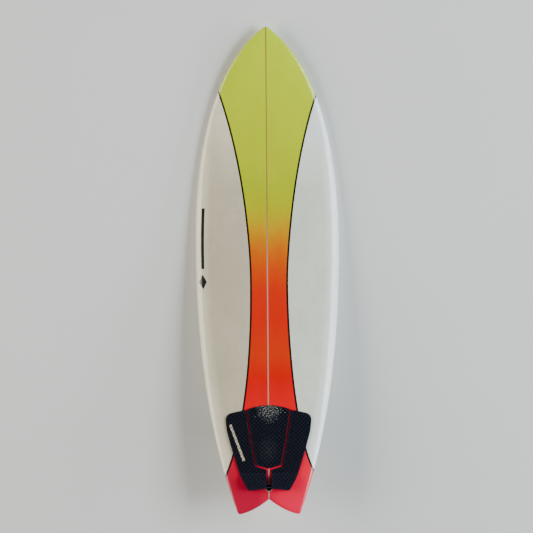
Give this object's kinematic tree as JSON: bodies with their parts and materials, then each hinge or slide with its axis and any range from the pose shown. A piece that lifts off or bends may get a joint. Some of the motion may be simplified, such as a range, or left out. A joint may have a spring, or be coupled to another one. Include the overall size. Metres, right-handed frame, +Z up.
{
  "type": "shortboard surfboard",
  "caption": "Swallow-tail shortboard surfboard with foam core, stringer, glassed shell, grooved traction pad, leash plug and removable fins held by grub screws.",
  "frame": {"origin": "middle of the board's bounding box in plan, on the floor that it stands on", "axes": "+X towards the nose, +Y towards the left rail for a rider facing the nose, +Z up out of the deck. The board lies deck up on its front fins and its belly, so its deck is pitched nose down by about 7 degrees"},
  "size_m": [1.722, 0.508, 0.2061],
  "materials": {
    "foam": "bare cut foam",
    "stringer_wood": "bare wood",
    "gloss_laminate": "clear gloss resin over glass cloth and colour",
    "pad_foam": "matt grooved EVA foam",
    "plug_black": "moulded",
    "resin_white": "filled resin, polished flush",
    "steel": "stainless",
    "plug_grey": "moulded",
    "fin_composite": "glass-filled composite"
  },
  "bodies": {
    "hull": {"deck_laminate": "gloss_laminate", "bottom_laminate": "gloss_laminate", "foam_left": "foam", "foam_right": "foam", "stringer": "stringer_wood", "pad_center": "pad_foam", "pad_left": "pad_foam", "kick_left": "pad_foam", "pad_right": "pad_foam", "kick_right": "pad_foam", "leash_cup": "plug_black", "leash_collar": "resin_white", "leash_bar": "steel", "fin_plug_front_left_fore": "plug_grey", "fin_plug_front_left_aft": "plug_grey", "fin_plug_front_right_fore": "plug_grey", "fin_plug_front_right_aft": "plug_grey", "fin_plug_rear_left_fore": "plug_grey", "fin_plug_rear_left_aft": "plug_grey", "fin_plug_rear_right_fore": "plug_grey", "fin_plug_rear_right_aft": "plug_grey"},
    "fin_front_left": {"fin_front_left": "fin_composite"},
    "fin_front_right": {"fin_front_right": "fin_composite"},
    "fin_rear_left": {"fin_rear_left": "fin_composite"},
    "fin_rear_right": {"fin_rear_right": "fin_composite"},
    "screw_front_left_fore": {"grub_screw_front_left_fore": "steel"},
    "screw_front_left_aft": {"grub_screw_front_left_aft": "steel"},
    "screw_front_right_fore": {"grub_screw_front_right_fore": "steel"},
    "screw_front_right_aft": {"grub_screw_front_right_aft": "steel"},
    "screw_rear_left_fore": {"grub_screw_rear_left_fore": "steel"},
    "screw_rear_left_aft": {"grub_screw_rear_left_aft": "steel"},
    "screw_rear_right_fore": {"grub_screw_rear_right_fore": "steel"},
    "screw_rear_right_aft": {"grub_screw_rear_right_aft": "steel"}
  },
  "joints": [
    {"name": "fin_front_left_pull", "type": "slide", "parent": "hull", "child": "fin_front_left", "axis": [-0.2014, 0.1128, -0.973], "range_m": [0, 0.016]},
    {"name": "fin_front_right_pull", "type": "slide", "parent": "hull", "child": "fin_front_right", "axis": [-0.2014, -0.1128, -0.973], "range_m": [0, 0.016]},
    {"name": "fin_rear_left_pull", "type": "slide", "parent": "hull", "child": "fin_rear_left", "axis": [-0.2265, 0.0694, -0.9715], "range_m": [0, 0.016]},
    {"name": "fin_rear_right_pull", "type": "slide", "parent": "hull", "child": "fin_rear_right", "axis": [-0.2265, -0.0694, -0.9715], "range_m": [0, 0.016]},
    {"name": "screw_front_left_fore_turn", "type": "hinge", "parent": "hull", "child": "screw_front_left_fore", "pos_m": [-0.49955, 0.16787, 0.10142], "axis": [-0.1551, 0.5218, -0.8389], "range_deg": [0, 720]},
    {"name": "screw_front_left_aft_turn", "type": "hinge", "parent": "hull", "child": "screw_front_left_aft", "pos_m": [-0.56406, 0.17068, 0.1151], "axis": [-0.1551, 0.5218, -0.8389], "range_deg": [0, 720]},
    {"name": "screw_front_right_fore_turn", "type": "hinge", "parent": "hull", "child": "screw_front_right_fore", "pos_m": [-0.49955, -0.16787, 0.10142], "axis": [-0.1551, -0.5218, -0.8389], "range_deg": [0, 720]},
    {"name": "screw_front_right_aft_turn", "type": "hinge", "parent": "hull", "child": "screw_front_right_aft", "pos_m": [-0.56406, -0.17068, 0.1151], "axis": [-0.1551, -0.5218, -0.8389], "range_deg": [0, 720]},
    {"name": "screw_rear_left_fore_turn", "type": "hinge", "parent": "hull", "child": "screw_rear_left_fore", "pos_m": [-0.64978, 0.12587, 0.13276], "axis": [-0.1873, 0.4843, -0.8546], "range_deg": [0, 720]},
    {"name": "screw_rear_left_aft_turn", "type": "hinge", "parent": "hull", "child": "screw_rear_left_aft", "pos_m": [-0.70427, 0.12741, 0.14558], "axis": [-0.1873, 0.4843, -0.8546], "range_deg": [0, 720]},
    {"name": "screw_rear_right_fore_turn", "type": "hinge", "parent": "hull", "child": "screw_rear_right_fore", "pos_m": [-0.64978, -0.12587, 0.13276], "axis": [-0.1873, -0.4843, -0.8546], "range_deg": [0, 720]},
    {"name": "screw_rear_right_aft_turn", "type": "hinge", "parent": "hull", "child": "screw_rear_right_aft", "pos_m": [-0.70427, -0.12741, 0.14558], "axis": [-0.1873, -0.4843, -0.8546], "range_deg": [0, 720]}
  ]
}
